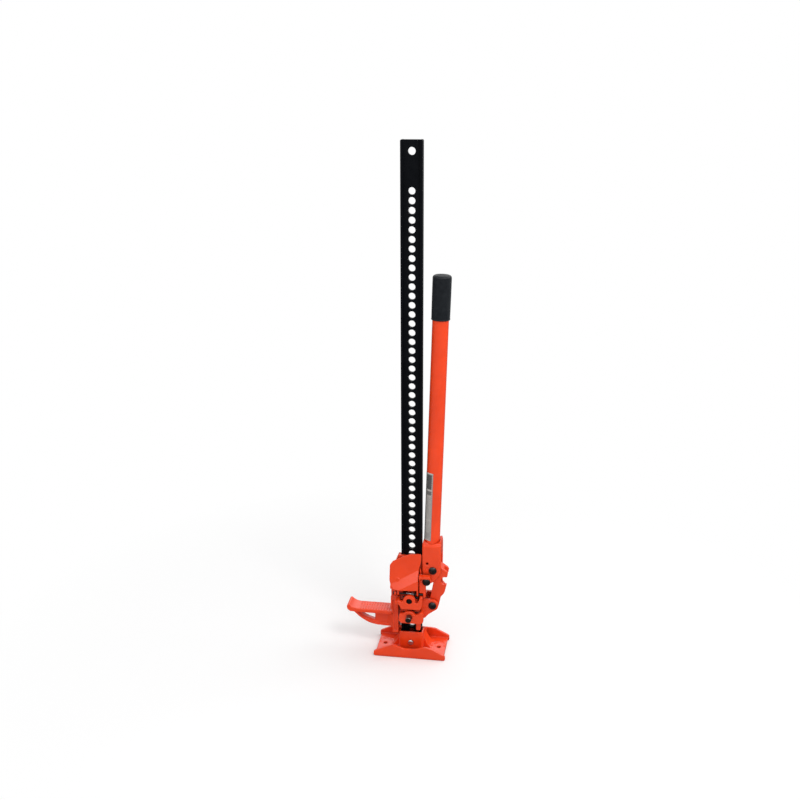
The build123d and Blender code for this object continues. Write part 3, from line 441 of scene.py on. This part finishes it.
def coil(name, node):
    """Compression spring along Y with closed ends, filling the box of the spring piece it
    replaces.
    """
    low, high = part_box(node)
    centre = (low + high) / 2
    radius = (high.x - low.x) / 2 - WIRE_RADIUS
    rise = high.y - low.y - 2 * WIRE_RADIUS
    turn_marks = (0, CLOSED_TURNS, COIL_TURNS - CLOSED_TURNS, COIL_TURNS)
    rise_marks = (0, CLOSED_RISE, rise - CLOSED_RISE, rise)
    steps = int(COIL_TURNS * STEPS_PER_TURN)
    outwards, path = [], []
    for i in range(steps + 1):
        turn = i / steps * COIL_TURNS
        angle = turn * 2 * math.pi
        y = low.y + WIRE_RADIUS + float(np.interp(turn, turn_marks, rise_marks))
        outward = Vector((math.cos(angle), 0, math.sin(angle)))
        outwards.append(outward)
        path.append(Vector((centre.x, y, centre.z)) + outward * radius)

    bm = bmesh.new()
    rings = []
    for i, point in enumerate(path):
        along = (path[min(i + 1, steps)] - path[max(i - 1, 0)]).normalized()
        side = along.cross(outwards[i]).normalized()
        outward = side.cross(along).normalized()
        ring = []
        for k in range(WIRE_SIDES):
            angle = k * 2 * math.pi / WIRE_SIDES
            offset = outward * math.cos(angle) + side * math.sin(angle)
            ring.append(bm.verts.new(point + offset * WIRE_RADIUS))
        rings.append(ring)
    join_rings(bm, rings)
    bm.faces.new(list(reversed(rings[0])))
    bm.faces.new(rings[-1])
    spring = smooth_object(name, bm)
    set_material(spring, SPRING_WIRE)
    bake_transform(spring)
    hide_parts(node)


coil("upper_pin_coil", "upper_pin_spring")
coil("lower_pin_coil", "lower_pin_spring")


# -------------------------------------------------------------- handle grip
def around_handle(radius, angle, height):
    across = HANDLE_SIDE * math.cos(angle) + Vector((0, 1, 0)) * math.sin(angle)
    return HANDLE_FOOT + HANDLE_AXIS * height + across * radius


GRIP_SIDES = 96
GRIP_LENGTH = 0.102
GRIP_TOP = 0.6706
GRIP_MOUTH = GRIP_TOP - GRIP_LENGTH
BORE_RADIUS = TUBE_RADIUS + 0.00012
BORE_TOP = 0.6671
BORE_STEP = 0.008
LIP_RADIUS = 0.0217
LIP_ROUND = 0.0016
SLEEVE_START = GRIP_MOUTH + 0.005
SLEEVE_END = GRIP_TOP - 0.0075
SLEEVE_STEPS = 60
SLEEVE_RADIUS = 0.0211
SLEEVE_FLARE = 0.00028                  # radius gained from mouth to top
SLEEVE_BULGE = 0.00016                  # extra radius at mid-length
TOP_ROUND = 0.0062


def arc(radius, height, rounding, angles):
    """Profile points on a circle centred at (radius, height)."""
    return [(radius + rounding * math.cos(a), height + rounding * math.sin(a)) for a in angles]


def grip_profile():
    """(radius, height) points: down the bore, round the lip, up the sleeve, over the top."""
    profile = [(0.0, BORE_TOP), (BORE_RADIUS - 0.003, BORE_TOP)]
    profile += [(BORE_RADIUS, BORE_TOP - i * BORE_STEP) for i in range(12)]
    profile += [
        (BORE_RADIUS, GRIP_MOUTH + 0.001),
        (BORE_RADIUS + 0.0004, GRIP_MOUTH + 0.0002),
        (BORE_RADIUS + 0.0012, GRIP_MOUTH),
    ]
    lip_angles = [-math.pi / 2 + i / 6 * math.pi for i in range(7)]
    profile += arc(LIP_RADIUS - LIP_ROUND, GRIP_MOUTH + LIP_ROUND, LIP_ROUND, lip_angles)
    profile.append((0.02115, GRIP_MOUTH + 0.0042))
    for i in range(SLEEVE_STEPS + 1):
        share = i / SLEEVE_STEPS
        radius = SLEEVE_RADIUS + SLEEVE_FLARE * share + SLEEVE_BULGE * math.sin(share * math.pi)
        profile.append((radius, SLEEVE_START + (SLEEVE_END - SLEEVE_START) * share))
    top_angles = [i / 10 * math.pi / 2 for i in range(1, 11)]
    profile += arc(profile[-1][0] - TOP_ROUND, SLEEVE_END, TOP_ROUND, top_angles)
    profile += [(0.0105, GRIP_TOP - 0.0006), (0.006, GRIP_TOP - 0.0002), (0.0, GRIP_TOP)]
    return profile


def make_grip():
    """Moulded rubber sleeve with a rolled lip at the mouth and a rounded closed end."""
    bm = bmesh.new()
    rings = []
    for radius, height in grip_profile():
        sides = GRIP_SIDES if radius else 1
        angles = [k * 2 * math.pi / GRIP_SIDES for k in range(sides)]
        rings.append([bm.verts.new(around_handle(radius, a, height)) for a in angles])
    join_rings(bm, rings)
    grip = smooth_object("rubber_grip", bm)
    set_material(grip, RUBBER)
    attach(grip, "handle_group")
    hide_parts("handle_grip")


make_grip()

# ------------------------------------------------------------- handle label
LABEL_ANGLES = (math.radians(172), math.radians(267))   # from the -X side round to -Y
LABEL_HEIGHTS = (0.0330, 0.2050)
LABEL_BACK = TUBE_RADIUS + 0.00003
LABEL_FACE = TUBE_RADIUS + 0.00030
LABEL_EDGE_DROP = 0.00012
LABEL_COLUMNS, LABEL_ROWS = 28, 60
LABEL_RIM_UV = (0.97, 0.5)

# print layout: u runs round the tube from the -X side, v runs up it
LABEL_WHITE, LABEL_GREY, LABEL_DARK = (0.50, 0.47, 0.44), (0.30, 0.28, 0.27), (0.006, 0.006, 0.007)
WHITE_BANDS = ((0.985, 1.0), (0.74, 0.755), (0.655, 0.665), (0.30, 0.315), (0.0, 0.02))
PANEL_U = (0.45, 0.90)
# low v, high v, colour
PANELS = (
    (0.765, 0.975, (0.085, 0.083, 0.082)),
    (0.68, 0.735, (0.14, 0.135, 0.13)),
    (0.05, 0.12, LABEL_GREY),
)
DARK_BORDER_U = 0.40
GREY_BORDER_U = 0.94


def label_material():
    """Printed film: rows of bars standing for text, with plain bands, panels and borders."""
    shader = Material("label_print")
    uv = shader.node("UVMap", uv_map="UVMap").outputs["UV"]
    u, v, _ = shader.node("SeparateXYZ", {0: uv}).outputs
    across = shader.math("MULTIPLY", u, 6.5)      # bars across the label
    up = shader.math("MULTIPLY", v, 74.0)         # rows up the label
    bars = shader.node("TexBrick", {
        "Scale": 1.0,
        "Mortar Size": 0.20,
        "Mortar Smooth": 0.1,
        "Bias": 0.1,
        "Brick Width": 0.9,
        "Row Height": 1.0,
        "Color1": (0.035, 0.035, 0.037),
        "Color2": (0.22, 0.21, 0.20),
        "Mortar": LABEL_WHITE,
        "Vector": shader.node("CombineXYZ", {0: across, 1: up}).outputs[0],
    }, offset=0.37)
    colour = bars.outputs["Color"]
    for low, high in WHITE_BANDS:
        colour = shader.mix(shader.between(v, low, high), colour, LABEL_WHITE)
    for low, high, panel_colour in PANELS:
        panel = shader.math("MULTIPLY", shader.between(v, low, high), shader.between(u, *PANEL_U))
        colour = shader.mix(panel, colour, panel_colour)
    colour = shader.mix(shader.math("LESS_THAN", u, DARK_BORDER_U), colour, LABEL_DARK)
    colour = shader.mix(shader.math("GREATER_THAN", u, GREY_BORDER_U), colour, LABEL_GREY)
    dirt = shader.noise(shader.coords(), scale=300, detail=4, roughness=0.7)
    grime = shader.remap(dirt, span=(0.45, 0.75), to=(0, 0.45))
    return shader.surface({
        "Base Color": shader.mix(grime, colour, (0.22, 0.20, 0.18)),
        "Roughness": shader.remap(dirt, span=(0.3, 0.7), to=(0.30, 0.5)),
        "Normal": shader.bump(dirt, strength=0.05, distance=0.0002),
    })


def make_label():
    """Thin curved film on the tube, its outer face dropping slightly at the edges."""
    bm = bmesh.new()
    uv_layer = bm.loops.layers.uv.new("UVMap")
    columns, rows = LABEL_COLUMNS, LABEL_ROWS
    (angle0, angle1), (height0, height1) = LABEL_ANGLES, LABEL_HEIGHTS
    back, face = {}, {}
    for layer in (back, face):
        for i in range(columns + 1):
            for j in range(rows + 1):
                radius = LABEL_BACK if layer is back else LABEL_FACE
                if layer is face and (i in (0, columns) or j in (0, rows)):
                    radius -= LABEL_EDGE_DROP
                angle = angle0 + (angle1 - angle0) * i / columns
                height = height0 + (height1 - height0) * j / rows
                layer[i, j] = bm.verts.new(around_handle(radius, angle, height))

    def add_face(corners, uvs):
        for loop, uv in zip(bm.faces.new(corners).loops, uvs):
            loop[uv_layer].uv = uv

    for i in range(columns):
        for j in range(rows):
            cell = [(i, j), (i + 1, j), (i + 1, j + 1), (i, j + 1)]
            for layer, keys in ((face, cell), (back, cell[::-1])):
                add_face([layer[key] for key in keys], [(a / columns, b / rows) for a, b in keys])
    rim = [(i, 0) for i in range(columns)]
    rim += [(columns, j) for j in range(rows)]
    rim += [(i, rows) for i in range(columns, 0, -1)]
    rim += [(0, j) for j in range(rows, 0, -1)]
    for here, after in zip(rim, rim[1:] + rim[:1]):
        add_face([back[here], back[after], face[after], face[here]], [LABEL_RIM_UV] * 4)
    label = smooth_object("tube_label", bm)
    set_material(label, label_material())
    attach(label, "handle_group")
    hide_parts("handle_label")


make_label()


# -------------------------------------------------------------------- floor
def floor_material():
    """Pale floor that fades to glowing white away from the origin."""
    shader = Material("floor_pale")
    patches = shader.noise(shader.coords(), scale=3, detail=2)
    shader.surface({
        "Base Color": (0.90, 0.90, 0.90),
        "Roughness": shader.remap(patches, span=(0.3, 0.7), to=(0.70, 0.80)),
    })
    glow = shader.node("Emission", {"Color": (1, 1, 1)})
    distance = shader.node("VectorMath", {0: shader.coords()}, operation="LENGTH")
    fade = shader.remap(distance.outputs["Value"], span=(0.25, 1.1))
    blend = shader.node(
        "MixShader", {0: fade, 1: shader.principled.outputs[0], 2: glow.outputs[0]})
    shader.fill(shader.output, {"Surface": blend.outputs[0]})
    return shader.material


def make_floor():
    bm = bmesh.new()
    bmesh.ops.create_grid(bm, x_segments=2, y_segments=2, size=14)
    floor = mesh_object("floor", bm)
    floor.location.z = -0.0002          # just clear of the base plate
    set_material(floor, floor_material())
    floor.visible_glossy = False


make_floor()


# -------------------------------------------------------------------- world
def make_world():
    """Plain white to the camera, a soft gradient for lighting, a studio in reflections."""
    world = bpy.data.worlds.new("studio")
    scene.world = world
    world.use_nodes = True
    shader = Shader(world.node_tree)
    direction = shader.node("TexCoord").outputs["Generated"]
    x, y, z = shader.node("SeparateXYZ", {0: direction}).outputs
    rays = shader.node("LightPath").outputs

    # lighting: brighter overhead and towards +X
    light = shader.grey_ramp(
        shader.remap(z, span=(-1, 1)),
        [(0.0, 0.30), (0.48, 0.34), (0.60, 0.55), (0.78, 1.0), (1.0, 1.15)])
    sideways = shader.remap(x, span=(-1, 1), to=(0.62, 1.18))
    light = shader.mix(1.0, light, shader.grey(sideways), blend="MULTIPLY")

    # reflections: dark low down, a wide softbox overhead, a pale backdrop at +Y
    softbox = shader.grey_ramp(
        z, [(0.0, 0.05), (0.24, 0.06), (0.52, 1.9), (0.68, 1.9), (0.84, 0.8), (1.0, 0.7)])
    backdrop = shader.remap(y, span=(0.05, 0.65), to=(0, 0.50))
    raised = shader.remap(z, span=(-0.25, 0.1), to=(0.2, 1))
    shine = shader.math("MAXIMUM", softbox, shader.math("MULTIPLY", backdrop, raised))
    light = shader.mix(rays["Is Glossy Ray"], light, shader.grey(shine))

    colour = shader.mix(rays["Is Camera Ray"], light, (1.0, 1.0, 1.0))
    background = world.node_tree.nodes["Background"]
    shader.fill(background, {"Color": colour, "Strength": 1.0})


make_world()


# ------------------------------------------------------------------- lights
def area_light(name, location, target, size, power):
    """Square area light aimed at a target."""
    data = bpy.data.lights.new(name, "AREA")
    data.shape = "RECTANGLE"
    data.size = data.size_y = size
    data.energy = power
    lamp = link(bpy.data.objects.new(name, data))
    lamp.location = location
    aim = Vector(target) - Vector(location)
    lamp.rotation_euler = aim.to_track_quat("-Z", "Y").to_euler()


area_light("key", location=(1.3, -1.7, 2.8), target=(0, 0, 0.35), size=1.1, power=30)
area_light("fill", location=(-2.4, -1.9, 1.5), target=(0, 0, 0.5), size=1.6, power=3)
area_light("rim", location=(1.9, 0.6, 2.0), target=(0, 0, 0.5), size=1.2, power=8)

# ------------------------------------------------------------------- camera
CAMERA_PLACE = (0.3269, -2.2004, 1.3371)
CAMERA_YAW = math.radians(-9.164)       # from +Y, positive towards +X
CAMERA_PITCH = math.radians(17.28)      # downwards
CAMERA_ROLL = math.radians(-0.22)


def make_camera():
    level = math.cos(CAMERA_PITCH)
    forward = Vector((
        math.sin(CAMERA_YAW) * level,
        math.cos(CAMERA_YAW) * level,
        -math.sin(CAMERA_PITCH),
    ))
    flat_right = Vector((math.cos(CAMERA_YAW), -math.sin(CAMERA_YAW), 0))
    flat_up = flat_right.cross(forward)
    right = flat_right * math.cos(CAMERA_ROLL) + flat_up * math.sin(CAMERA_ROLL)
    up = -flat_right * math.sin(CAMERA_ROLL) + flat_up * math.cos(CAMERA_ROLL)
    pose = Matrix((right, up, -forward)).transposed().to_4x4()
    pose.translation = Vector(CAMERA_PLACE)

    data = bpy.data.cameras.new("camera")
    data.lens = 45.53
    data.sensor_width = 36
    data.clip_start, data.clip_end = 0.05, 60
    camera = link(bpy.data.objects.new("camera", data))
    camera.matrix_world = pose
    scene.camera = camera


make_camera()
scene.view_settings.view_transform = "Standard"
scene.view_settings.look = "None"
